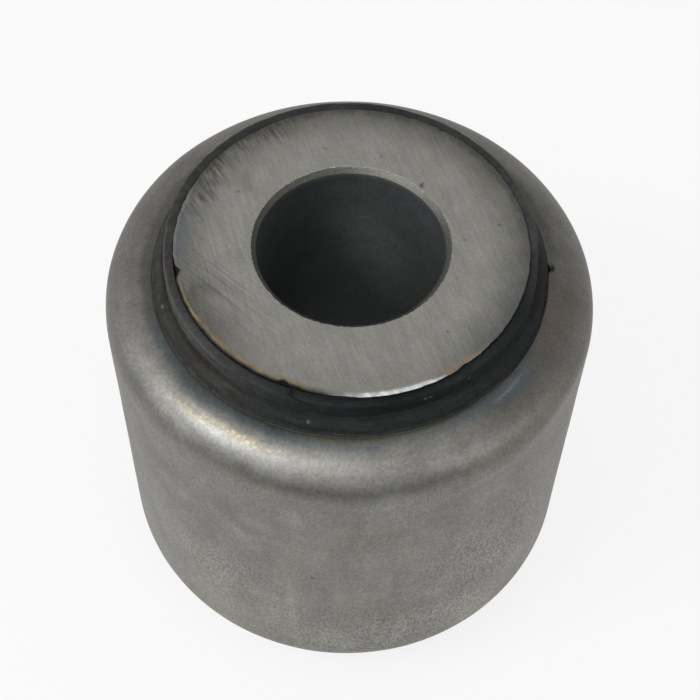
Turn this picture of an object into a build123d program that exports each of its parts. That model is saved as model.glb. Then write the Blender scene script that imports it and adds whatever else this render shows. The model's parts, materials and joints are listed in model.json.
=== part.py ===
from build123d import *
import os

# A rubber-and-steel bushing of the kind pressed into a suspension arm or a spring eye.
# A thick steel tube takes the bolt. Rubber is moulded round the tube and bonded to it.
# A steel sleeve holds the rubber, and both of its ends are rolled inwards over it.
# All three pieces are turned about Z, and the origin is the centre of the bore at mid length.
# Lengths are in millimetres. Radial sizes build outwards from the bore, so that each
# piece seats on the one inside it, and heights build outwards from the middle.

# Inner tube: thick-walled, faced flat at both ends, with a chamfer at each mouth of the bore
bore_diameter = 24.0
tube_wall = 10.5
bore_chamfer = 0.75
# how far each end of the tube stands out past the sleeve
tube_stand_out = 5.0

# Outer sleeve: a tube of even wall with its ends bent inwards
sleeve_length = 55.0
sleeve_wall = 3.5
bend_inner_radius = 2.5
lip_round = 0.4

# Rubber between the two
rubber_thickness = 6.0

# Rubber at each end: a thin collar climbs the tube and stops just short of its face
collar_thickness = 1.25
collar_recess = 0.4
collar_round = 0.35

# Rubber at each end: a crowned bead slopes from the collar down to the lip of the sleeve
bead_width = 1.5
bead_height = 2.0
bead_crown = 0.65
crease_round = 0.2
groove_width = 0.25

# Radii, from the bore outwards
bore_radius = bore_diameter / 2
tube_radius = bore_radius + tube_wall
collar_radius = tube_radius + collar_thickness
bead_foot_radius = collar_radius + bead_width
mouth_radius = bead_foot_radius + groove_width
rubber_radius = tube_radius + rubber_thickness
sleeve_radius = rubber_radius + sleeve_wall
bend_outer_radius = bend_inner_radius + sleeve_wall

# Heights above the middle
sleeve_end = sleeve_length / 2
pocket_end = sleeve_end - sleeve_wall
tube_end = sleeve_end + tube_stand_out
collar_end = tube_end - collar_recess
bead_top = sleeve_end + bead_height
groove_floor = sleeve_end - lip_round


# A rectangle of the half section, from the axis out to a radius and the same way up and down
def half_rectangle(radius, end):
    return Rectangle(radius, 2 * end, align=(Align.MIN, Align.CENTER))


# The two corners of a half section that lie farthest from the axis
def outer_corners(section):
    return section.vertices().group_by(Axis.X)[-1]


# Turns a half section, drawn with X as the radius and Y as the height, about the Z axis
def turn(section):
    return revolve(Plane.XZ * section, axis=Axis.Z)


# The space inside the sleeve, with the inside radius of the bends at its corners
def pocket_section():
    pocket = half_rectangle(rubber_radius, pocket_end)
    return fillet(outer_corners(pocket), bend_inner_radius)


def inner_tube():
    wall = half_rectangle(tube_radius, tube_end) - half_rectangle(bore_radius, tube_end)
    bore_corners = wall.vertices().group_by(Axis.X)[0]
    return turn(chamfer(bore_corners, bore_chamfer))


def outer_sleeve():
    blank = half_rectangle(sleeve_radius, sleeve_end)
    blank = fillet(outer_corners(blank), bend_outer_radius)
    wall = blank - pocket_section() - half_rectangle(mouth_radius, sleeve_end)
    lip_corners = [
        corner
        for corner in wall.vertices().group_by(Axis.X)[0]
        if abs(corner.Y) > pocket_end + sleeve_wall / 2
    ]
    return turn(fillet(lip_corners, lip_round))


# What shows of the rubber at the upper end, and the plug of it that fills the mouth of the sleeve
def rubber_end_section():
    collar_foot = (collar_radius, bead_top)
    bead_foot = (bead_foot_radius, groove_floor)
    edge = Polyline(
        bead_foot,
        (mouth_radius, groove_floor),
        (mouth_radius, 0),
        (tube_radius, 0),
        (tube_radius, collar_end),
        (collar_radius, collar_end),
        collar_foot,
    )
    bead = SagittaArc(collar_foot, bead_foot, -bead_crown)
    end = make_face(edge + bead)
    collar_corner = end.vertices().sort_by_distance((collar_radius, collar_end))[0]
    end = fillet(collar_corner, collar_round)
    crease_corner = end.vertices().sort_by_distance(collar_foot)[0]
    return fillet(crease_corner, crease_round)


def rubber_body():
    upper_end = rubber_end_section()
    lower_end = mirror(upper_end, about=Plane.XZ)
    core = half_rectangle(tube_radius, tube_end)
    return turn(pocket_section() - core + upper_end + lower_end)


pieces = {
    "inner_tube": inner_tube(),
    "rubber_body": rubber_body(),
    "outer_sleeve": outer_sleeve(),
}

os.makedirs("parts", exist_ok=True)
for name, piece in pieces.items():
    export_step(piece, f"parts/{name}.step")
    print(name, "volume", round(piece.volume), "mm3", "valid", piece.is_valid)
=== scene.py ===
import json
import math
import bpy
import numpy as np
from mathutils import Matrix, Vector, noise


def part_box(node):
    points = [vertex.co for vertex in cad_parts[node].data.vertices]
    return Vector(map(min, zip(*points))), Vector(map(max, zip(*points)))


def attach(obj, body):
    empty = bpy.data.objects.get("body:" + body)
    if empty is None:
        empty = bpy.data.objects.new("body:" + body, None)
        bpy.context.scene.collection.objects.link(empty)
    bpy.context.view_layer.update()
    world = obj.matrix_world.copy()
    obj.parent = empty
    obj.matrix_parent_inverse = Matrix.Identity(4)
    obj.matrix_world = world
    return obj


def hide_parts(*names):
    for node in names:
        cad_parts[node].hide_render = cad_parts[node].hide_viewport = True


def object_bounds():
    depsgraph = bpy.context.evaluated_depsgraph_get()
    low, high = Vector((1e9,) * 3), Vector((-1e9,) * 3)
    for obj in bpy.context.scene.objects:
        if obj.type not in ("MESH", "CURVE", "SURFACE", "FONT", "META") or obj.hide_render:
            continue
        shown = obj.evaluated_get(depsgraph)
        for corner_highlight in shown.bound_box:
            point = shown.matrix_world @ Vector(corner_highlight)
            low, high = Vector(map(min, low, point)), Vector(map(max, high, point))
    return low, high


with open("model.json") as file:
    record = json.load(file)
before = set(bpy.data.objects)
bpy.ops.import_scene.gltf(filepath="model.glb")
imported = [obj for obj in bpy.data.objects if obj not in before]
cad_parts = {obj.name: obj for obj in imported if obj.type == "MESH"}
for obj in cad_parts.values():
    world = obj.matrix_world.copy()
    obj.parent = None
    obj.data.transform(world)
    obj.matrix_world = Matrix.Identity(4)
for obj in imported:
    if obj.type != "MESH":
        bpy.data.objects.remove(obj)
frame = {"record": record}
cad_low, cad_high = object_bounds()

# Lengths below are millimetres, apart from the camera, the lights and the floor, which are in metres.
# An azimuth is in degrees: 0 is the photograph's right, -90 is the side nearest to the camera.
MM = 0.001


def mount(name):
    return next(m for m in frame["record"]["mounts"] if m["name"] == name)["dims"]


# Sizes that come from the frame
tube_radius, tube_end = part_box("inner_tube")[1].y / MM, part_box("inner_tube")[1].z / MM
sleeve_radius, sleeve_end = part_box("outer_sleeve")[1].y / MM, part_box("outer_sleeve")[1].z / MM
rubber_radius, collar_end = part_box("rubber_body")[1].y / MM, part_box("rubber_body")[1].z / MM
bore_radius = mount("bore")["r_mm"]
bore_chamfer = tube_end - mount("bore")["length_mm"] / 2
bend_radius = sleeve_end - mount("sleeve")["length_mm"] / 2

# Sizes that follow from those, or that the frame doesn't give and the CAD model has
sleeve_wall = sleeve_radius - rubber_radius
inner_bend_radius = bend_radius - sleeve_wall
collar_thickness = 1.25
bead_width = 1.5
bead_height = 2.0
bead_crown = 0.65
groove_width = 0.25
lip_round = 0.4
collar_radius = tube_radius + collar_thickness
bead_foot_radius = collar_radius + bead_width
mouth_radius = bead_foot_radius + groove_width
bead_top = sleeve_end + bead_height
groove_floor = sleeve_end - lip_round
collar_round = 0.35
crease_round = 0.2

# Sizes that only the scene has
# a small rounding of the tube's rim, which is sharp in the CAD model
edge_round = 0.12
# what is left of the lip's rounding where the rubber has filled it
lip_edge = 0.06
# how far below the lip's top the rubber in the groove lies
filled_depth = 0.04
# the height at which each half section starts, and the one at which the bore's steps change
section_start = 0.5
bore_step_change = 24

COLUMNS = 640
azimuth = np.linspace(-180, 180, COLUMNS, endpoint=False)


# Numbers over the surface

def smooth(x, low, high):
    t = np.clip((x - low) / (high - low), 0, 1)
    return t * t * (3 - 2 * t)


def turned(a, b):
    """The angle from b to a in degrees, between -180 and 180."""
    return (a - b + 180) % 360 - 180


def arc_mask(az, start, end, fade):
    """1 between two azimuths, going anticlockwise from start to end, and 0 a fade outside them."""
    middle, half = (start + end) / 2, (end - start) / 2
    return 1 - smooth(np.abs(turned(az, middle)), half, half + fade)


def bump_at(x, centre, width):
    return np.exp(-((x - centre) / width) ** 2)


def hump(az, centre, width):
    """A soft rise round this azimuth."""
    return bump_at(turned(az, centre), 0, width)


def wobble(az, waves, seed):
    """A smooth random value, of about -1 to 1, that goes round with about this many waves."""
    draw = np.random.default_rng(seed)
    total = np.zeros_like(az, dtype=float)
    counts = np.unique(np.round(waves * np.array([0.6, 0.8, 1.0, 1.3, 1.7])).astype(int))
    for count in counts:
        total += draw.uniform(0.5, 1) * np.sin(np.radians(az) * count + draw.uniform(0, 2 * np.pi))
    return total / np.sqrt(len(counts))


def clouds(x, y, z, size, seed):
    """Smooth random values, of about -1 to 1, at points in millimetres, with features of this size."""
    shift = Vector((seed * 17.3, seed * 5.1, -seed * 9.7))
    points = np.stack([x, y, z], -1).reshape(-1, 3) / size
    values = [noise.noise(Vector(p) + shift) for p in points.tolist()]
    return np.array(values).reshape(np.shape(x)) * 1.6


def srgb(*channels):
    """A colour as read from a screen, 0 to 255, as the linear values that a shader takes."""
    return tuple((c / 255 / 12.92) if c <= 10 else ((c / 255 + 0.055) / 1.055) ** 2.4 for c in channels)


def grey(level, warmth=0.0):
    """A grey of this screen level, with less blue by this many levels and a little more red."""
    return srgb(level + 0.1 * warmth, level, level - warmth)


# Sections, as lists of (radius, height). Each function gives the upper half, from the inner wall over
# the end to the outer wall, and makes some of its steps coarse times as long.

def line(start, end, step):
    count = max(1, math.ceil(math.dist(start, end) / step))
    share = np.linspace(0, 1, count + 1)[1:, None]
    return np.array(start) * (1 - share) + np.array(end) * share


def arc(centre, radius, start, end, count):
    turn = np.radians(np.linspace(start, end, count + 1)[1:])
    return np.stack([centre[0] + radius * np.cos(turn), centre[1] + radius * np.sin(turn)], -1)


def whole(half):
    """The closed section of a ring: an upper half, and a lower one with longer steps."""
    return np.concatenate([half(1), half(2)[::-1] * [1, -1]])


def tube_section(coarse):
    face_in = bore_radius + bore_chamfer
    face_out = tube_radius - edge_round
    wall_top = tube_end - edge_round
    return np.concatenate([
        [(bore_radius, section_start)],
        line((bore_radius, section_start), (bore_radius, bore_step_change), 2 * coarse),
        line((bore_radius, bore_step_change), (bore_radius, tube_end - bore_chamfer), 1),
        line((bore_radius, tube_end - bore_chamfer), (face_in, tube_end), 0.15 * coarse),
        line((face_in, tube_end), (face_in + 0.6, tube_end), 0.1 * coarse),
        line((face_in + 0.6, tube_end), (face_out - 1.6, tube_end), 0.35 * coarse),
        line((face_out - 1.6, tube_end), (face_out, tube_end), 0.12 * coarse),
        arc((face_out, wall_top), edge_round, 90, 0, 3),
        line((tube_radius, wall_top), (tube_radius, wall_top - 1.2), 0.15 * coarse),
        line((tube_radius, wall_top - 1.2), (tube_radius, section_start), 8),
    ])


def sleeve_section(coarse):
    bend_centre = (sleeve_radius - bend_radius, sleeve_end - bend_radius)
    inner_centre = (rubber_radius - inner_bend_radius, sleeve_end - sleeve_wall - inner_bend_radius)
    lip_centre = (mouth_radius + lip_edge, sleeve_end - lip_edge)
    return np.concatenate([
        [(rubber_radius, section_start)],
        line((rubber_radius, section_start), (rubber_radius, inner_centre[1]), 7),
        arc(inner_centre, inner_bend_radius, 0, 90, 4),
        line((inner_centre[0], sleeve_end - sleeve_wall), (mouth_radius, sleeve_end - sleeve_wall), 0.6),
        line((mouth_radius, sleeve_end - sleeve_wall), (mouth_radius, lip_centre[1]), 0.8),
        arc(lip_centre, lip_edge, 180, 90, 4),
        line((lip_centre[0], sleeve_end), (bend_centre[0], sleeve_end), 0.1),
        arc(bend_centre, bend_radius, 90, 0, 36 // coarse),
        line((sleeve_radius, bend_centre[1]), (sleeve_radius, section_start), 0.6 * coarse),
    ])


def bead_arc(count):
    """The rubber's crown from the foot of the collar down to the groove beside the lip."""
    start = np.array([collar_radius, bead_top])
    end = np.array([bead_foot_radius, groove_floor])
    half = np.linalg.norm(end - start) / 2
    radius = (half ** 2 + bead_crown ** 2) / (2 * bead_crown)
    along = (end - start) / (2 * half)
    across = np.array([-along[1], along[0]])
    centre = (start + end) / 2 - across * (radius - bead_crown)
    first, last = (math.degrees(math.atan2(*(p - centre)[::-1])) for p in (start, end))
    return arc(centre, radius, first, last, count)


def rubber_section(coarse):
    inner_centre = (rubber_radius - inner_bend_radius, sleeve_end - sleeve_wall - inner_bend_radius)
    bead = bead_arc(24 // coarse)
    return np.concatenate([
        [(tube_radius, section_start)],
        line((tube_radius, section_start), (tube_radius, bead_top), 8),
        line((tube_radius, bead_top), (tube_radius, collar_end), 0.7),
        line((tube_radius, collar_end), (collar_radius - collar_round, collar_end), 0.12 * coarse),
        arc((collar_radius - collar_round, collar_end - collar_round), collar_round, 90, 0, 5),
        line((collar_radius, collar_end - collar_round), (collar_radius, bead_top + crease_round),
             0.15 * coarse),
        [(collar_radius + 0.05, bead_top + 0.05)],
        bead,
        line(bead[-1], (mouth_radius, groove_floor), 0.13),
        line((mouth_radius, groove_floor), (mouth_radius, sleeve_end - sleeve_wall), 1),
        line((mouth_radius, sleeve_end - sleeve_wall), (inner_centre[0], sleeve_end - sleeve_wall), 1),
        arc(inner_centre, inner_bend_radius, 90, 0, 4),
        line((rubber_radius, inner_centre[1]), (rubber_radius, section_start), 7),
    ])


# A ring turned from a section. Its shape, its marks and its paint are grids: one row for each point
# of the section and one column for each azimuth.

class Ring:
    def __init__(self, name, section, colour):
        self.name = name
        self.radius = np.repeat(section[:, :1], COLUMNS, 1)
        self.height = np.repeat(section[:, 1:], COLUMNS, 1)
        self.azimuth = np.repeat(azimuth[None, :], len(section), 0)
        tangent = np.roll(section, -1, 0) - np.roll(section, 1, 0)
        tangent /= np.linalg.norm(tangent, axis=1)[:, None]
        self.out_r = np.repeat(-tangent[:, 1:], COLUMNS, 1)
        self.out_z = np.repeat(tangent[:, :1], COLUMNS, 1)
        self.colour = np.ones((*self.radius.shape, 3)) * colour
        self.marks = {}
        self.section = section

    def points(self):
        turn = np.radians(self.azimuth)
        return self.radius * np.cos(turn), self.radius * np.sin(turn), self.height

    def raise_surface(self, amount):
        self.radius = self.radius + self.out_r * amount
        self.height = self.height + self.out_z * amount

    def paint(self, mask, colour):
        share = np.clip(mask, 0, 1)[..., None]
        self.colour = self.colour * (1 - share) + np.array(colour) * share

    def build(self, materials, material_of_row):
        x, y, z = self.points()
        mesh = bpy.data.meshes.new(self.name)
        rows = len(self.section)
        index = np.arange(rows * COLUMNS).reshape(rows, COLUMNS)
        across, down = np.roll(index, -1, 1), np.roll(index, -1, 0)
        corner_highlight = np.roll(down, -1, 1)
        faces = np.stack([index, down, corner_highlight, across], -1).reshape(-1, 4)
        points = np.stack([x, y, z], -1).reshape(-1, 3) * MM
        mesh.from_pydata(points.tolist(), [], faces.tolist())
        for material in materials:
            mesh.materials.append(material)
        mesh.polygons.foreach_set("material_index", np.repeat(material_of_row, COLUMNS).astype(np.int32))
        mesh.polygons.foreach_set("use_smooth", np.ones(len(faces), bool))
        for name, values in self.marks.items():
            layer = mesh.attributes.new(name, "FLOAT", "POINT")
            layer.data.foreach_set("value", np.clip(values, 0, 1).astype(np.float32).ravel())
        opaque = np.ones((rows, COLUMNS, 1))
        layer = mesh.color_attributes.new("paint", "FLOAT_COLOR", "POINT")
        layer.data.foreach_set("color", np.concatenate([self.colour, opaque], -1).astype(np.float32).ravel())
        mesh.update()
        piece = bpy.data.objects.new(self.name, mesh)
        bpy.context.scene.collection.objects.link(piece)
        return piece


# Material nodes

class Shader:
    """Builds a material's nodes. A socket given as a value is linked, and anything else is set."""

    def __init__(self, name):
        self.material = bpy.data.materials.new(name)
        self.material.use_nodes = True
        self.tree = self.material.node_tree
        self.tree.nodes.clear()
        self.output = self.add("OutputMaterial")
        self.surface = self.add("BsdfPrincipled")
        self.tree.links.new(self.surface.outputs[0], self.output.inputs["Surface"])
        self.place = self.add("TexCoord").outputs["Object"]
        self.millimetres = self.stretch((1 / MM,) * 3)

    def add(self, kind, inputs=None, **settings):
        made = self.tree.nodes.new("ShaderNode" + kind)
        for key, value in settings.items():
            setattr(made, key, value)
        for key, value in (inputs or {}).items():
            self.set(made.inputs[key], value)
        return made

    def set(self, socket, value):
        if isinstance(value, bpy.types.NodeSocket):
            self.tree.links.new(value, socket)
        else:
            socket.default_value = value

    def stretch(self, scale, turn=0.0, source=None):
        made = self.add("Mapping", {"Vector": source or self.place, "Scale": scale}, vector_type="POINT")
        made.inputs["Rotation"].default_value = (0, 0, math.radians(turn))
        return made.outputs[0]

    def bent(self, source, size, reach):
        """Coordinates pushed sideways by about this many millimetres, in swirls of this size."""
        swirl = self.add("TexNoise", {"Vector": source, "Scale": 1 / size, "Detail": 1.0}).outputs["Color"]
        centred = self.add("VectorMath", {0: swirl, 1: (-0.5, -0.5, -0.5)}, operation="ADD").outputs[0]
        push = self.add("VectorMath", {0: centred, "Scale": 4 * reach}, operation="SCALE").outputs[0]
        return self.add("VectorMath", {0: source, 1: push}, operation="ADD").outputs[0]

    def lines(self, turn, length, width, source=None):
        """Coordinates for strokes on a face seen from above: their angle from +X, length and width."""
        turned_back = self.stretch((1, 1, 1), -turn, source or self.millimetres)
        return self.stretch((1 / length, 1 / width, 0.3), 0, turned_back)

    def noise(self, source, scale=1.0, detail=2.0, rough=0.5, seed=0.0):
        shifted = self.add("VectorMath", {0: source, 1: (seed, -seed, seed / 2)}, operation="ADD")
        settings = {"Vector": shifted.outputs[0], "Scale": scale, "Detail": detail, "Roughness": rough}
        return self.add("TexNoise", settings).outputs["Fac"]

    def range(self, value, low, high, to_low=0.0, to_high=1.0):
        settings = {"Value": value, "From Min": low, "From Max": high, "To Min": to_low, "To Max": to_high}
        return self.add("MapRange", settings, interpolation_type="SMOOTHSTEP").outputs[0]

    def calc(self, operation, a, b=0.0):
        return self.add("Math", {0: a, 1: b}, operation=operation).outputs[0]

    def mix(self, share, a, b, mode="MIX"):
        made = self.add("Mix", {0: share}, data_type="RGBA", blend_type=mode)
        for slot, colour in ((6, a), (7, b)):
            self.set(made.inputs[slot], colour if isinstance(colour, bpy.types.NodeSocket) else (*colour, 1))
        return made.outputs[2]

    def mark(self, name):
        return self.add("Attribute", attribute_name=name).outputs["Fac"]

    def paint(self, level=1.0):
        """The painted colour, times this level: steel also mirrors the white surroundings."""
        colour = self.add("Attribute", attribute_name="paint").outputs["Color"]
        return self.add("VectorMath", {0: colour, "Scale": level}, operation="SCALE").outputs[0]

    def vary(self, colour, value, amount, where=None):
        """The colour made lighter and darker by this share, as the value goes from 0.3 to 0.7."""
        swing = self.range(value, 0.3, 0.7, -amount, amount)
        if where is not None:
            swing = self.calc("MULTIPLY", swing, where)
        factor = self.calc("ADD", swing, 1.0)
        return self.add("VectorMath", {0: colour, "Scale": factor}, operation="SCALE").outputs[0]

    def bump(self, height, distance, under=None, strength=1.0):
        """A relief whose full height is this many millimetres, over another one."""
        inputs = {"Height": height, "Distance": distance * MM, "Strength": strength}
        if under is not None:
            inputs["Normal"] = under
        return self.add("Bump", inputs).outputs[0]

    def finish(self, **values):
        names = {"colour": "Base Color", "rough": "Roughness", "metal": "Metallic", "normal": "Normal",
                 "specular": "Specular IOR Level"}
        for key, value in values.items():
            self.set(self.surface.inputs[names[key]], value)
        return self.material


# Inner tube

def face_steel():
    s = Shader("ground_steel")
    bent = s.bent(s.millimetres, 15.0, 0.5)
    fine = s.noise(s.lines(-70, 2.6, 0.16, bent), 1.0, 2, 0.5, 3)
    broad = s.noise(s.lines(-66, 6.0, 0.55, bent), 1.0, 2, 0.5, 11)
    steep = s.noise(s.lines(-74, 11.0, 0.3, bent), 1.0, 2, 0.5, 19)
    crossing = s.noise(s.lines(-41, 13.0, 0.24), 1.0, 1, 0.5, 5)
    strokes = s.noise(s.lines(-52, 2.4, 0.36, bent), 1.0, 2, 0.55, 17)
    mottle = s.noise(s.millimetres, 0.3, 3, 0.55, 2)
    speck = s.noise(s.millimetres, 3.2, 2, 0.6, 8)
    warm = s.noise(s.millimetres, 0.55, 3, 0.6, 27)
    base = s.vary(s.paint(level=0.705), fine, 0.07)
    base = s.vary(base, broad, 0.045)
    base = s.vary(base, mottle, 0.05)
    base = s.vary(base, speck, 0.07)
    base = s.vary(base, steep, 0.10, s.mark("steep"))
    base = s.vary(base, crossing, 0.21, s.mark("crossed"))
    base = s.vary(base, strokes, 0.5, s.mark("strokes"))
    base = s.mix(s.range(warm, 0.3, 0.7), s.mix(1.0, base, (0.99, 1.0, 1.01), "MULTIPLY"),
                 s.mix(1.0, base, (1.02, 1.0, 0.96), "MULTIPLY"))
    height = s.calc("ADD", s.calc("MULTIPLY", fine, 0.6), s.calc("MULTIPLY", broad, 0.4))
    normal = s.bump(height, 0.007, s.bump(speck, 0.005))
    rough = s.range(fine, 0.3, 0.7, 0.48, 0.56)
    return s.finish(colour=base, rough=rough, metal=0.8, normal=normal)


def bore_steel():
    s = Shader("bore_steel")
    mottle = s.noise(s.millimetres, 0.25, 4, 0.6, 21)
    speck = s.noise(s.millimetres, 1.6, 3, 0.6, 4)
    base = s.vary(s.vary(s.paint(level=0.83), mottle, 0.12), speck, 0.12)
    return s.finish(colour=base, rough=0.62, metal=0.3, normal=s.bump(speck, 0.03))


def chamfer_steel():
    s = Shader("chamfer_steel")
    turned_marks = s.noise(s.stretch((0.4, 0.4, 7), 0, s.millimetres), 1.0, 2, 0.5, 6)
    speck = s.noise(s.millimetres, 4.2, 2, 0.6, 9)
    base = s.vary(s.paint(level=0.76), turned_marks, 0.10)
    # Painted glints: bright specks along the crumbled edge
    crumb_glint = s.calc("MULTIPLY", s.mark("crumble"), s.range(speck, 0.6, 0.7))
    base = s.vary(base, speck, 0.15)
    base = s.mix(crumb_glint, base, grey(190, 4))
    return s.finish(colour=base, rough=0.5, metal=0.6, normal=s.bump(speck, 0.015))


def build_tube():
    ring = Ring("dressed_tube", whole(tube_section), srgb(152, 151, 146))
    az, r, z = ring.azimuth, ring.radius.copy(), ring.height.copy()
    x, y, _ = ring.points()
    upper = (z > 0).astype(float)
    lower = 1 - upper
    face = (np.abs(z) > tube_end - 0.001) * 1.0
    chamfer_edge = bore_radius + bore_chamfer

    # The ragged rim of the face, and chips that reach in from it and fade down the wall
    ragged = 0.04 * np.abs(wobble(az, 60, 1)) + 0.05 * np.abs(wobble(az, 25, 2))
    ragged = ragged + 0.04 * np.abs(wobble(az, 140, 3))
    # each chip's azimuth, width in degrees and depth
    chips = [(-167.5, 2.1, 0.62), (-171.5, 1.2, 0.14), (-110, 1.7, 0.42), (-106.0, 2.2, 0.2),
             (-52, 0.9, 0.15), (59, 0.8, 0.22), (163, 0.9, 0.12), (71, 0.7, 0.16), (22, 0.8, 0.12),
             (30, 0.6, 0.1)]
    chipped = sum(depth * hump(az, place, width) for place, width, depth in chips) * upper
    ragged = ragged + chipped + lower * 0.25 * smooth(wobble(az, 12, 7), 1.0, 1.6)
    near_edge = smooth(r, tube_radius - 1.5, tube_radius - 0.2)
    near_edge = near_edge * smooth(np.abs(z), tube_end - 1.0, tube_end - 0.1)
    ring.radius = ring.radius - ragged * near_edge

    # Facing has rolled the rim over a little, most at the burr
    rolled = 0.17 * arc_mask(az, -95, 110, 15) + 0.2 * arc_mask(az, -84, -58, 8)
    at_rim = smooth(r, tube_radius - 0.8, tube_radius - 0.2)
    at_rim = at_rim * smooth(np.abs(z), tube_end - 0.45, tube_end - 0.15)
    ring.radius = ring.radius + upper * rolled * at_rim

    # The edge between the face and the chamfer is crumbled, and stands a little off centre
    on_edge = bump_at(r, chamfer_edge, 0.2) * (np.abs(z) > tube_end - 0.3)
    crumble = clouds(x, y, z, 0.5, 4) * on_edge
    ring.radius = ring.radius + 0.08 * crumble + 0.08 * on_edge * np.cos(np.radians(az))
    ring.height = ring.height - np.sign(z) * 0.05 * np.abs(crumble)

    # The face isn't quite flat
    ring.height = ring.height - np.sign(z) * face * 0.02 * (clouds(x, y, z, 7, 9) * 0.5 + 0.5)

    # Pits: x, y, radius
    pits = [(8.95, 9.75, 0.3), (9.05, 10.15, 0.16), (14.5, 1.1, 0.17), (3.7, 14.5, 0.13),
            (-3.7, 15.7, 0.13), (-14.6, 8.0, 0.16), (18.7, 3.6, 0.12), (12.0, -13.0, 0.13)]
    pit = sum(np.exp(-((x - px) ** 2 + (y - py) ** 2) / size ** 2) for px, py, size in pits) * upper * face
    ring.height = ring.height - 0.12 * pit

    # Painted shade darkens the face towards its rim, least on the side next to the camera, and a ragged band
    # of painted shade lies at the far edge
    near = arc_mask(az, -108, -72, 38)
    rim = np.clip((r - 16.6) / (tube_radius - 16.6), 0, 1) ** 1.35
    ring.paint(rim * (1 - 0.85 * near) * (1 + 0.12 * clouds(x, y, z, 3.0, 33)), grey(93, 5))
    ring.paint(0.3 * smooth(r, 15.5, 18.5) * hump(az, -150, 17) * upper, grey(98, 4))
    ragged_shade = smooth(r + 0.35 * clouds(x, y, z, 1.2, 52) + 0.2 * clouds(x, y, z, 0.5, 53), 21.5, 22.3)
    ring.paint(0.55 * ragged_shade * face * arc_mask(az, 20, 145, 20), grey(70, 2))

    # Smudges beside the rim on the left: x, y, half sizes, strength. The rim is blueish in two places.
    smudges = [(-18.6, -7.6, 2.2, 1.3, 0.55), (-13.6, 9.8, 0.8, 2.0, 0.5), (-10.4, 18.2, 2.0, 1.0, 0.55),
               (-16.8, 13.8, 1.2, 0.8, 0.5), (-18.6, 8.4, 1.2, 2.2, 0.45)]
    for sx, sy, half_x, half_y, depth in smudges:
        spot = np.exp(-((x - sx) / half_x) ** 2 - ((y - sy) / half_y) ** 2)
        ring.paint(upper * depth * spot * (0.75 + 0.35 * clouds(x, y, z, 1.1, 41)), grey(84, 2))
    blue = hump(az, 178, 13) * smooth(r, 19, 22) + 0.5 * hump(az, -25, 18) * smooth(r, 18, 22)
    ring.paint(upper * face * 0.35 * blue, srgb(118, 128, 142))
    ring.paint(pit * 0.8, grey(40))

    # The rim: a painted highlight along the edge and a band of painted shade on the left, yellow and
    # rust-coloured residue, a painted reflection of the rubber and painted shade in the chips on the wall
    # below, and the bright burr, a polished burr with a painted highlight
    on_face = smooth(np.abs(z), tube_end - 0.3, tube_end - 0.1)
    # Painted shade in a band along the rim on the left
    rim_shade = smooth(r, tube_radius - 0.9, tube_radius - 0.1) * on_face * arc_mask(az, -150, -100, 10)
    ring.paint(upper * rim_shade * 0.8, srgb(70, 68, 62))
    edge = smooth(r, tube_radius - 0.55, tube_radius - 0.25) * on_face
    broken = 0.45 + 0.55 * smooth(wobble(az, 46, 5), -0.9, 0.5)
    # Painted highlight along the edge on the left
    ring.paint(upper * edge * 0.6 * arc_mask(az, 162, 190, 8), grey(132))
    beside_notch = bump_at(r, tube_radius - 0.9, 0.4) * arc_mask(az, -172, -160, 4)
    ring.paint(upper * on_face * beside_notch * 0.5, grey(132, 6))
    yellow = arc_mask(az, -163, -148, 3) + 0.7 * arc_mask(az, -50, -43, 3)
    ring.paint(upper * edge * broken * 0.6 * yellow, srgb(166, 154, 112))
    ring.paint(upper * edge * broken * 0.7 * arc_mask(az, -153, -148, 2), srgb(184, 164, 98))
    rust = arc_mask(az, -146, -104, 4) + 0.7 * arc_mask(az, -57, -50, 3)
    rust_band = bump_at(r, tube_radius - 0.45, 0.28) * on_face
    ring.paint(upper * rust_band * broken * 0.85 * rust, srgb(158, 138, 100))
    # Painted shade on the outermost edge on the left
    outer_edge = smooth(r, tube_radius - 0.25, tube_radius - 0.1)
    ring.paint(upper * outer_edge * arc_mask(az, -165, -98, 5), grey(62, 3))
    # A painted reflection of the dark rubber on the outer wall below the rim
    wall = smooth(tube_end - np.abs(z), 0.05, 0.16) * (r > tube_radius - 0.7)
    ring.paint(wall, grey(62))
    # The polished burr, with a painted highlight, and a painted highlight beside it
    burr = upper * arc_mask(az, -83, -63, 6) * (0.85 + 0.25 * wobble(az, 70, 6))
    burr_width = 0.5 - 0.2 * smooth(az, -68, -58)
    in_band = smooth(r, tube_radius - burr_width, tube_radius - burr_width + 0.15)
    burr_band = in_band * smooth(z, tube_end - 0.7, tube_end - 0.5)
    ring.paint(burr * burr_band, grey(240, -2))
    ring.paint(upper * hump(az, -89.3, 1.2) * burr_band * 0.7, grey(190))
    # Painted shade in the chips, down the wall
    ring.paint(smooth(chipped, 0.12, 0.3) * wall, grey(40))

    # The chamfer and the wall of the bore, with painted light and shade: lighter at the far right, where
    # they face the light on the left, darker on the chamfer's right, left and near side, and a painted pool
    # of light on the bore's far wall, which is darker just below the mouth
    slope = (r < chamfer_edge - 0.01) & (r > bore_radius + 0.001)
    inside = r < bore_radius + 0.01
    ring.paint(slope * 1.0, grey(116, 6))
    ring.paint(slope * arc_mask(az, 100, 210, 30), srgb(85, 86, 78))
    ring.paint(slope * hump(az, 175, 30), srgb(74, 75, 68))
    ring.paint(slope * arc_mask(az, -28, 5, 28), grey(86, 6))
    ring.paint(slope * hump(az, 67, 22), grey(122, 6))
    ring.paint(slope * arc_mask(az, -130, -55, 25), grey(58, 4))
    ring.paint(inside * 1.0, srgb(62, 66, 66))
    ring.paint(inside * hump(az, 42, 52), srgb(88, 92, 92))
    bright_height = 15 + (az - 75) / 6
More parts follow.
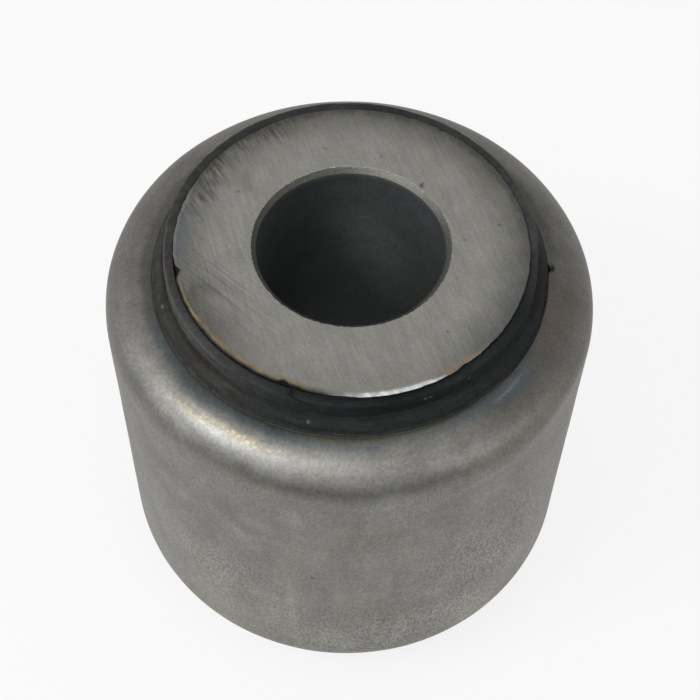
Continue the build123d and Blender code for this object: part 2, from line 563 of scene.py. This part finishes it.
    # A painted pool of light on the far wall of the bore
    bright = hump(az, 74, 28) * bump_at(np.abs(z), bright_height, 8.5)
    ring.paint(inside * 0.8 * bright, srgb(120, 124, 124))
    ring.paint(inside * 0.35 * smooth(np.abs(z), 29.5, 31.3) * (1 - 0.6 * hump(az, 55, 30)), grey(40))

    ring.marks = {
        "crossed": upper * (0.1 + 0.9 * np.exp(-((x + y + 24) / 5) ** 2 - ((x - y + 7) / 9) ** 2)),
        "steep": upper * (0.25 + 0.75 * np.exp(-((x + 16) / 4) ** 2 - (y / 9) ** 2)),
        "strokes": (upper * smooth(r, 17.8, 21.5) * arc_mask(az, 112, 166, 14)
                    * (0.6 + 0.6 * clouds(x, y, z, 2.4, 3))),
        "crumble": smooth(np.abs(z), tube_end - 0.3, tube_end) * (0.1 + 0.9 * arc_mask(az, 66, 132, 20)),
    }

    inner = ring.section[:, 0] < bore_radius + 0.01
    sloped = (ring.section[:, 0] < chamfer_edge - 0.01) & ~inner
    row_material = np.zeros(len(ring.section), int)
    following = np.roll(ring.section[:, 0], -1)
    row_material[inner & (following < bore_radius + 0.01)] = 1
    row_material[(inner & (following > bore_radius + 0.01)) | sloped] = 2
    piece = ring.build([face_steel(), bore_steel(), chamfer_steel()], row_material)
    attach(piece, "root")
    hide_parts("inner_tube")


# Rubber

def moulded_rubber():
    s = Shader("moulded_rubber")
    grain = s.noise(s.millimetres, 2.4, 3, 0.6, 1)
    streaks = s.noise(s.stretch((0.22, 0.22, 2.8), 0, s.millimetres), 1.0, 3, 0.6, 7)
    dust = s.noise(s.millimetres, 1.0, 4, 0.65, 12)
    base = s.vary(s.paint(), streaks, 0.22)
    base = s.vary(base, dust, 0.18)
    base = s.vary(base, grain, 0.12)
    normal = s.bump(grain, 0.05, s.bump(streaks, 0.08))
    return s.finish(colour=base, rough=0.68, metal=0.0, normal=normal, specular=0.14)


def build_rubber():
    ring = Ring("dressed_rubber", whole(rubber_section), srgb(31, 34, 34))
    az, r, z = ring.azimuth, ring.radius.copy(), ring.height.copy()
    x, y, _ = ring.points()
    level = np.abs(z)
    upper = (z > 0) * 1.0
    shown = (level > groove_floor - 0.01) * (r > tube_radius + 0.05) * 1.0
    collar = shown * (r < collar_radius + 0.03) * (level > bead_top)
    bead = shown * (1 - collar)

    # The moulding is a little uneven, and the collar is thicker and higher on the far side
    ring.raise_surface(shown * (0.05 * clouds(x, y, z, 1.6, 6) + 0.04 * wobble(az, 9, 12)))
    ring.raise_surface(bead * (0.07 * wobble(az, 14, 15) - 0.03))
    to_far = upper * np.clip(np.sin(np.radians(az)), 0, 1)
    outwards = np.clip((r - tube_radius) / collar_thickness, 0, 1)
    outwards = outwards * smooth(level, bead_top + 0.1, bead_top + 1.3)
    ring.radius = ring.radius + collar * 0.42 * to_far * outwards
    ring.height = ring.height + collar * 0.15 * to_far * smooth(level, collar_end - 0.6, collar_end - 0.1)

    # The rubber has shrunk a little from the tube, and lies lower at the burr
    gap = bump_at(r, tube_radius, 0.34) * smooth(level, collar_end - 0.1, collar_end - 0.01)
    left = arc_mask(az, 110, 265, 20)
    ring.height = ring.height - np.sign(z) * gap * 0.06
    top = smooth(level, collar_end - 0.3, collar_end - 0.05) * collar
    ring.height = ring.height - 0.14 * top * upper * arc_mask(az, -95, -55, 15)

    # The groove beside the lip is full of rubber
    filled_height = sleeve_end - filled_depth
    below_lip = shown * (np.abs(ring.height) < filled_height) * (r > mouth_radius - 1)
    ring.height = np.where(below_lip > 0, np.sign(z) * filled_height, ring.height)
    ring.radius = np.where(below_lip > 0, np.minimum(ring.radius, mouth_radius), ring.radius)
    ring.radius = np.where(shown * (r > mouth_radius - 0.01) > 0, mouth_radius, ring.radius)

    # The torn flap on the collar, nearly facing the camera, and a shallow scuff on the bead
    tear = hump(az + 5 * (z - 31.5), -103.5, 1.1) * upper * collar * smooth(level, 30.6, 31.4)
    scuff = hump(az - 4 * (z - 29), -92, 3.0) * upper * bead
    ring.raise_surface(-0.26 * tear - 0.06 * scuff)

    # Dust lies on the collar and the bead, most on the left; painted shade darkens the gap beside the tube
    # and the crease below the collar, a painted highlight lightens the collar's corner on the left, and
    # painted light lifts the rubber where it meets the lip
    ring.paint(collar * arc_mask(az, 30, 170, 20), srgb(39, 43, 41))
    ring.paint(collar * 0.9 * hump(az, 12, 24), srgb(60, 63, 61))
    ring.paint(collar * hump(az, -153, 33), srgb(74, 75, 73))
    ring.paint(collar * 0.9 * hump(az, -76, 20), srgb(18, 22, 22))
    ring.paint(collar * 0.8 * hump(az, -26, 18), srgb(20, 23, 22))
    ring.paint(bead * arc_mask(az, 150, 230, 22), srgb(53, 52, 50))
    ring.paint(bead * hump(az, -112, 20) * 0.5, srgb(42, 44, 43))
    ring.paint(bead * hump(az, 26, 18), srgb(58, 60, 59))
    ring.paint(bead * 0.8 * hump(az, -8, 15), srgb(22, 17, 15))
    on_top = smooth(level, collar_end - 0.12, collar_end - 0.02) * collar
    ring.paint(on_top * 0.9 * hump(az, -170, 35), srgb(53, 52, 50))
    # Painted highlight along the collar's outer corner on the left
    corner_highlight = bump_at(level, collar_end - 0.15, 0.2) * bump_at(r, collar_radius - 0.08, 0.2) * collar
    ring.paint(corner_highlight * 0.5 * hump(az, -172, 26), srgb(90, 92, 92))
    # Painted shade in the gap beside the tube
    ring.paint(gap * 0.3 * (1 - left), grey(34))
    # Painted shade in the crease between the collar and the bead
    crease = bump_at(level, bead_top - 0.1, 0.5) * bump_at(r, collar_radius + 0.1, 0.4) * shown
    ring.paint(crease * 0.65, srgb(27, 28, 28))
    # Painted light: the rubber is made lighter where it meets the lip, where shade would darken it
    junction = smooth(sleeve_end + 0.7 - level, 0.0, 0.6) * shown
    ring.paint(junction * 0.75, srgb(47, 49, 49))
    ring.paint(junction * 0.75 * arc_mask(az, 170, 240, 15), srgb(74, 72, 68))
    filled = shown * upper * smooth(r, mouth_radius - 0.27, mouth_radius - 0.05)
    ring.paint(filled * 0.8 * arc_mask(az, -110, -46, 12), srgb(82, 82, 74))
    # Painted shade inside the tear
    ring.paint(tear, grey(12))
    specks = hump(az, -161, 0.4) + 0.7 * hump(az, -100.6, 0.35)
    ring.paint(bead * upper * specks * bump_at(r, 24.7, 0.12), grey(128, 6))
    crumbs = hump(az, -66.8, 0.35) + 0.7 * hump(az, -65.2, 0.3) + 0.5 * hump(az, -52, 0.4)
    ring.paint(collar * upper * crumbs * bump_at(z, 31.1, 0.2), grey(112, 2))
    piece = ring.build([moulded_rubber()], np.zeros(len(ring.section), int))
    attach(piece, "root")
    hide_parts("rubber_body")


# Outer sleeve

def sleeve_steel():
    s = Shader("sleeve_steel")
    upright = s.stretch((1, 1, 0.6), 0, s.millimetres)
    grain = s.noise(upright, 3.3, 1, 0.5, 1)
    rings = s.noise(s.stretch((0.05, 0.05, 0.9), 0, s.millimetres), 1.0, 2, 0.5, 44)
    sparkle = s.noise(s.millimetres, 2.2, 2, 0.55, 31)
    speckle = s.noise(s.millimetres, 2.0, 1, 0.5, 52)
    blotch = s.noise(s.bent(upright, 6.0, 1.2), 0.17, 2, 0.55, 14)
    tone = s.noise(upright, 0.9, 2, 0.5, 18)
    warm = s.noise(s.millimetres, 1.3, 3, 0.65, 29)
    burnish = s.mark("burnish")
    base = s.vary(s.paint(), blotch, 0.10)
    base = s.vary(base, tone, 0.035)
    base = s.vary(base, rings, 0.03)
    base = s.vary(base, grain, 0.5, s.mark("grain"))
    base = s.vary(base, sparkle, 0.12, burnish)
    # Painted glints: bright specks in the straw band
    glint = s.calc("MULTIPLY", s.mark("glint"), s.range(speckle, 0.52, 0.66))
    base = s.mix(glint, base, srgb(210, 197, 164))
    base = s.mix(s.range(warm, 0.3, 0.7), s.mix(1.0, base, (0.98, 1.0, 1.0), "MULTIPLY"),
                 s.mix(1.0, base, (1.03, 1.0, 0.97), "MULTIPLY"))
    dull = s.calc("SUBTRACT", 1.0, s.calc("MULTIPLY", burnish, 0.9))
    normal = s.bump(grain, 0.06, s.bump(sparkle, 0.010), dull)
    dull_rough, burnished_rough = 0.56, 0.41
    rough = s.add("Mix", {0: burnish, 2: dull_rough, 3: burnished_rough}).outputs[0]
    return s.finish(colour=base, rough=rough, metal=0.8, normal=normal)


def build_sleeve():
    ring = Ring("dressed_sleeve", whole(sleeve_section), grey(137, 5))
    az, r, z = ring.azimuth, ring.radius.copy(), ring.height.copy()
    x, y, _ = ring.points()
    upper = (z > 0) * 1.0
    outside = (r > rubber_radius + 0.1) | (np.abs(z) > sleeve_end - lip_round)
    ring.raise_surface(outside * 0.03 * smooth(r, mouth_radius, mouth_radius + 1.5) * clouds(x, y, z, 9, 2))

    # The angle round the bend: 0 at the top of the lip, 90 where the straight wall starts
    bend_r, bend_z = r - (sleeve_radius - bend_radius), np.abs(z) - (sleeve_end - bend_radius)
    bend = np.degrees(np.arctan2(np.maximum(bend_r, 0), np.maximum(bend_z, 1e-6)))
    on_bend = (((bend_z > 0) & (bend_r > 0)) | (np.abs(z) > sleeve_end - 0.3)) * 1.0

    # The dark nick in the lip on the right
    at_lip = bump_at(r, mouth_radius + 0.1, 0.5) * smooth(z, sleeve_end - 1.2, sleeve_end - 0.1)
    nick = hump(az, 1.5, 1.3) * upper * at_lip
    ring.radius = ring.radius + 0.4 * nick
    ring.height = ring.height - 0.3 * nick

    # The shoulder is darker than the wall, with painted highlights along its crown, where the metal is
    # burnished, and a band of painted shade at its foot
    uneven = 2.5 * wobble(az, 9, 31) + 1.5 * wobble(az, 40, 32)
    around = bend + uneven
    shoulder = on_bend * (1 - smooth(around, 62, 82))
    right = arc_mask(az, -42, -10, 20)
    ring.paint(shoulder, grey(119, 4))
    ring.paint(shoulder * hump(az, -48, 16) * smooth(bend, 30, 55), srgb(132, 129, 120))
    ring.paint(shoulder * right * (1 - smooth(around, 8, 66)), srgb(91, 90, 85))
    ring.paint(shoulder * 0.5 * hump(az, 5, 18) * (1 - smooth(around, 8, 50)), srgb(94, 93, 88))
    ring.paint(shoulder * 0.4 * hump(az, 155, 20) * (1 - smooth(around, 20, 40)), srgb(100, 99, 93))
    near_lip = on_bend * (1 - smooth(around, 3, 15))
    ring.paint(near_lip * (1 - 0.8 * arc_mask(az, -98, -58, 12)), grey(92, 1))
    # Painted highlights along the crown
    left_highlight = hump(az, -127, 34) * bump_at(around, 40 + 4 * hump(az, -142, 14), 17)
    front_highlight = 0.6 * hump(az, -97, 13) * bump_at(around, 31, 17)
    right_highlight = 0.65 * hump(az, -58, 15) * bump_at(around, 48, 10)
    crown_highlights = on_bend * np.clip(0.8 * left_highlight + front_highlight + right_highlight, 0, 1)
    ring.paint(crown_highlights, grey(160, 3))
    # A band of painted shade at the foot of the shoulder
    foot = on_bend * bump_at(around, 63, 8) * arc_mask(az, -106, -70, 16)
    ring.paint(foot * 0.6, grey(99, 1))

    # Heat and rubbing have tinted it: blue beside the lip, straw-coloured inside the crown, brown on the
    # right. The straw band is also a painted highlight, with painted glints in it and a bluish-white painted
    # highlight outside it. A thin bright streak crosses the blue.
    beside_lip = on_bend * bump_at(around, 5, 6)
    ring.paint(beside_lip * arc_mask(az, -150, -35, 15) * 0.55, srgb(86, 99, 106))
    ring.paint(on_bend * bump_at(around, 12, 6) * hump(az, -42, 10) * 0.7, srgb(80, 86, 93))
    streak = on_bend * bump_at(bend + 0.3 * (az + 42), 7, 1.4) * arc_mask(az, -46, -38, 3)
    ring.paint(streak * 0.4, srgb(142, 150, 156))
    straw = on_bend * bump_at(around, 27, 6) * hump(az, -121, 14) * (0.7 + 0.5 * clouds(x, y, z, 1.2, 61))
    ring.paint(straw * 0.55, srgb(166, 156, 124))
    # Painted highlight, bluish white, outside the straw band
    ring.paint(on_bend * bump_at(around, 45, 8) * hump(az, -118, 16) * 0.25, srgb(158, 162, 168))
    ring.paint(on_bend * bump_at(bend, 8, 12) * hump(az, -18, 12) * 0.6, srgb(104, 88, 80))

    # Painted shade beside the rubber and inside the nick, and an olive line on the lip near the camera
    lip_shade = upper * (1 - smooth(r, mouth_radius + 0.05, mouth_radius + 0.5)) * smooth(z, 24, 27)
    ring.paint(lip_shade * 0.45 * arc_mask(az, -160, -62, 15), srgb(50, 54, 55))
    ring.paint(lip_shade * 0.5 * arc_mask(az, 185, 205, 15), srgb(66, 66, 62))
    # Painted shade inside the nick
    round_nick = hump(az, 1.5, 1.3) * bump_at(r, mouth_radius + 0.1, 0.45)
    ring.paint(upper * round_nick * smooth(z, sleeve_end - 1.3, sleeve_end - 1.0) * 0.9, grey(36))
    olive = upper * bump_at(r, mouth_radius + 0.5, 0.25) * smooth(z, sleeve_end - 0.2, sleeve_end - 0.05)
    ring.paint(olive * arc_mask(az, -97, -64, 8) * 0.6, srgb(110, 106, 80))

    # Pale smears and dark specks on the wall: azimuth, height, half sizes across and along, and for a
    # smear also its lean and strength
    def patch(place, height, across, along, lean=0.0):
        sideways = np.radians(turned(az, place)) * sleeve_radius - lean * (z - height)
        return np.exp(-(sideways / across) ** 2 - ((z - height) / along) ** 2) * (r > sleeve_radius - 1.5)

    smears = [(-101.5, 17.8, 1.1, 1.9, -0.2, 1.0), (-115.5, 9.0, 1.3, 2.6, -0.4, 1.0),
              (-131.5, 9.6, 1.2, 2.2, 0.5, 0.9), (-135.5, 17.0, 2.0, 2.5, 0, 0.5),
              (-137.5, 10.0, 1.6, 1.6, 0, 0.4), (-149, 17.5, 1.2, 2.5, 0, 0.4),
              (-130, 5.0, 0.3, 2.0, 1.0, 0.6), (-73, 14, 1.2, 1.6, 0, 0.4), (-96, 6, 0.5, 4, 0, 0.4),
              (-105, 10.0, 1.5, 1.6, 0, 0.7), (-111, 13.5, 1.8, 1.6, 0, 0.6), (-84, 21.3, 3.4, 0.5, 0, 0.8),
              (-124, 17.9, 0.4, 3.5, 0.4, 0.6), (-91, -3, 0.6, 5, 0, 0.6), (-102.5, -8, 0.6, 7, 0, 0.6),
              (-62.5, 4, 0.9, 2.4, 0.5, 0.7), (-45, 9, 0.7, 6, -0.5, 0.6), (-66.5, -6.5, 1.8, 1.5, 0, 0.7),
              (-88, -19.4, 1.3, 1.1, 0, 1.0), (-61, -19, 2.8, 1.3, 0, 0.6), (-137, -16.5, 2.0, 2.0, 0, 0.7),
              (-170, 8, 4.5, 16, 0, 0.7), (-52, 20.8, 9, 0.7, 0, 0.5)]
    broken = 0.7 + 0.4 * clouds(x, y, z, 1.0, 71)
    for place, height, across, along, lean, strength in smears:
        ring.paint(patch(place, height, across, along, lean) * strength * broken, srgb(160, 157, 153))
    dark_specks = [(-79.4, -12.1, 0.22, 0.45), (-86, 6.9, 0.25, 0.18), (-97, 1.7, 0.22, 0.3)]
    for place, height, across, along in dark_specks:
        ring.paint(patch(place, height, across, along), grey(66, 2))
    dull_patches = patch(-81, -9, 8, 4) * 0.3 + patch(-84, 13, 4, 3) * 0.3
    ring.paint(dull_patches, srgb(122, 123, 114))
    pale_patches = 0.4 * patch(-133, -3, 8, 9) + 0.4 * patch(-56, -18, 11, 6) + 0.3 * patch(-60, 2, 6, 10)
    ring.paint(pale_patches, srgb(153, 151, 146))

    # A pale line where the shoulder meets the wall on the right
    foot_line = on_bend * bump_at(around, 86, 3) * arc_mask(az, -42, -14, 8)
    foot_line = foot_line * (0.7 + 0.6 * clouds(x, y, z, 0.7, 73))
    ring.paint(foot_line * 0.6, grey(160, 4))

    # How much of the paint's lightness is left: less on the shoulder, which mirrors the bright surroundings,
    # than on the wall, save on the crown's painted highlights; more low down, most on the left; more in a
    # painted highlight on the left of the crown and beside the lip near the camera; less at the foot of the
    # shoulder on the right and far left, beside the lip on the far right and high on the wall at the right
    low_down = smooth(z, 10, -14)
    level = 0.83 + 0.08 * low_down + 0.10 * low_down * hump(az, -122, 16)
    level = level - 0.10 * shoulder * (1 - 0.8 * crown_highlights)
    level = level - 0.04 * (1 - low_down) * (1 - on_bend) * hump(az, -40, 16)
    # Painted highlight on the left of the crown
    level = level + 0.29 * on_bend * hump(az, -142, 10) * bump_at(around, 36, 14)
    level = level + 0.2 * on_bend * hump(az, -86, 20) * bump_at(around, 8, 12)
    level = level - (0.10 * hump(az, -20, 14) + 0.06 * hump(az, -172, 14)) * smooth(around, 40, 70)
    level = level - 0.18 * on_bend * hump(az, 24, 14) * (1 - smooth(around, 12, 40))
    ring.colour = ring.colour * level[..., None]

    rough_patches = patch(-48, -3, 10, 12) + 0.7 * patch(-121, -5, 6, 6) + 0.7 * patch(-80, -17, 15, 8)
    burnish = shoulder * (0.3 + 0.7 * arc_mask(az, -155, -60, 30))
    grain = outside * (0.27 + 0.55 * np.clip(rough_patches, 0, 1)) * (1 - 0.6 * burnish)
    ring.marks = {"burnish": burnish, "grain": grain, "glint": 0.5 * straw}
    piece = ring.build([sleeve_steel()], np.zeros(len(ring.section), int))
    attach(piece, "root")
    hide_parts("outer_sleeve")


# Surroundings, in metres

# How strongly the white world lights what doesn't mirror it
WORLD_LIGHT = 0.6
# How much of the floor, as the camera and the steel see it, is the background's own white
FLOOR_WHITE = 0.82
FLOOR_HALF = 0.6


def add_camera():
    spot = Vector((0.0, -0.12102, 0.19098))
    target = Vector((0.00024, 0.0, 0.00818))
    roll = math.radians(1.57)
    data = bpy.data.cameras.new("camera")
    data.sensor_width = 36.0
    data.lens = 81.085
    data.clip_start = 0.01
    camera = bpy.data.objects.new("camera", data)
    turn = (target - spot).to_track_quat("-Z", "Y").to_matrix().to_4x4()
    camera.matrix_world = Matrix.Translation(spot) @ turn @ Matrix.Rotation(roll, 4, "Z")
    bpy.context.scene.collection.objects.link(camera)
    bpy.context.scene.camera = camera


def add_lamp(name, azimuth_deg, elevation_deg, distance, size, power):
    """A soft square lamp that looks at the origin, the object's middle, from this direction."""
    az, el = math.radians(azimuth_deg), math.radians(elevation_deg)
    away = Vector((math.cos(az) * math.cos(el), math.sin(az) * math.cos(el), math.sin(el)))
    data = bpy.data.lights.new(name, "AREA")
    data.size = size
    data.energy = power
    lamp = bpy.data.objects.new(name, data)
    turn = away.to_track_quat("Z", "Y").to_matrix().to_4x4()
    lamp.matrix_world = Matrix.Translation(away * distance) @ turn
    bpy.context.scene.collection.objects.link(lamp)


def sees_background(tree):
    """1 for the camera's rays and for those that metal mirrors or glass passes on, and 0 for the others."""
    rays = tree.nodes.new("ShaderNodeLightPath")
    share = rays.outputs["Is Camera Ray"]
    for name in ("Is Glossy Ray", "Is Transmission Ray"):
        either = tree.nodes.new("ShaderNodeMath")
        either.operation = "MAXIMUM"
        tree.links.new(share, either.inputs[0])
        tree.links.new(rays.outputs[name], either.inputs[1])
        share = either.outputs[0]
    return share


def add_world():
    world = bpy.data.worlds.new("studio")
    world.use_nodes = True
    bpy.context.scene.world = world
    tree = world.node_tree
    lit = tree.nodes["Background"]
    lit.inputs["Color"].default_value = (1, 1, 1, 1)
    lit.inputs["Strength"].default_value = WORLD_LIGHT
    seen = tree.nodes.new("ShaderNodeBackground")
    seen.inputs["Color"].default_value = (1, 1, 1, 1)
    mix = tree.nodes.new("ShaderNodeMixShader")
    tree.links.new(sees_background(tree), mix.inputs[0])
    tree.links.new(lit.outputs[0], mix.inputs[1])
    tree.links.new(seen.outputs[0], mix.inputs[2])
    tree.links.new(mix.outputs[0], tree.nodes["World Output"].inputs["Surface"])


def add_floor():
    top = cad_low[2]
    corners = [(-1, -1), (1, -1), (1, 1), (-1, 1)]
    mesh = bpy.data.meshes.new("floor")
    mesh.from_pydata([(FLOOR_HALF * x, FLOOR_HALF * y, top) for x, y in corners], [], [(0, 1, 2, 3)])
    floor = bpy.data.objects.new("floor", mesh)
    bpy.context.scene.collection.objects.link(floor)
    s = Shader("floor")
    glow = s.add("Emission", {"Color": (1, 1, 1, 1), "Strength": 1.0})
    white_share = s.calc("MULTIPLY", sees_background(s.tree), FLOOR_WHITE)
    both = s.add("MixShader", {0: white_share})
    s.set(both.inputs[1], s.surface.outputs[0])
    s.set(both.inputs[2], glow.outputs[0])
    s.set(s.output.inputs["Surface"], both.outputs[0])
    tone = s.noise(s.place, 30.0, 2, 0.5, 0)
    mesh.materials.append(s.finish(colour=s.mix(tone, (0.80, 0.80, 0.80), (0.84, 0.84, 0.84)), rough=0.9))


build_tube()
build_rubber()
build_sleeve()
add_camera()
add_world()
add_floor()
add_lamp("key", -148, 51, 0.55, 0.24, 1.05)
add_lamp("front", -68, 58, 0.8, 0.5, 0.9)
bpy.context.scene.view_settings.view_transform = "Standard"
